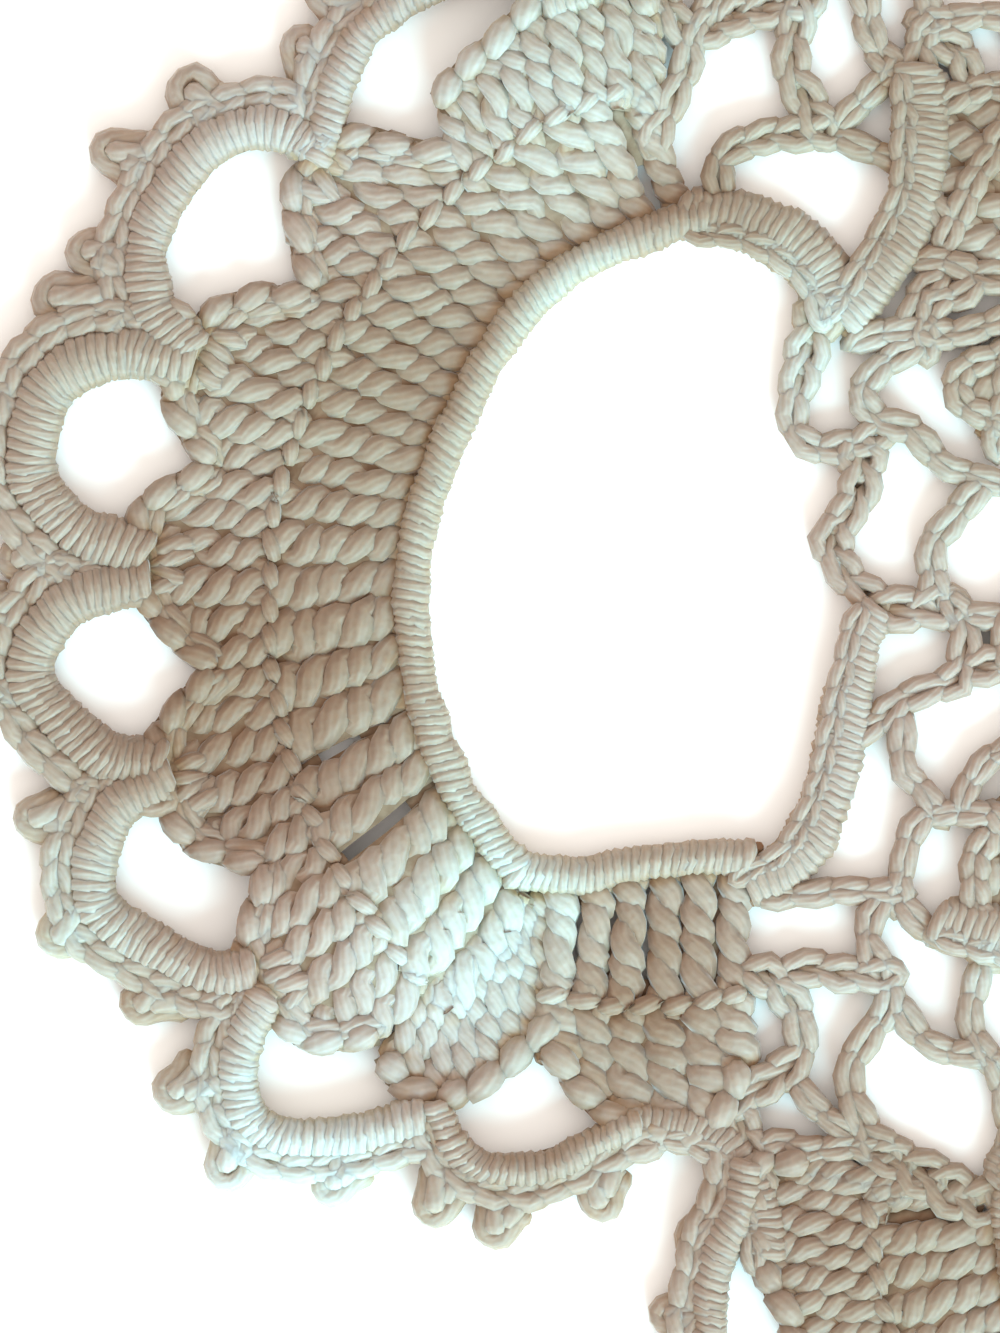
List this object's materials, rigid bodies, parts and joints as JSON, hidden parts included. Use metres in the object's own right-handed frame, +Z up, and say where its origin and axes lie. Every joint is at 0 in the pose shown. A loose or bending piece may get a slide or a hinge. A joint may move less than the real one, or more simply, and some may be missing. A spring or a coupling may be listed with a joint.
{
  "type": "lace doily",
  "caption": "Round crocheted cotton doily: a wheel, a chain net and scalloped fans with covered arches and picots.",
  "frame": {"origin": "centre of the doily on its underside, at the level of the table", "axes": "+Z up out of the table, towards the doily's right side; the first fan lies towards -X"},
  "size_m": [0.3049, 0.3072, 0.0071],
  "materials": {
    "cream_cotton": "matte"
  },
  "bodies": {
    "root": {"lace_doily": "cream_cotton"}
  },
  "joints": []
}
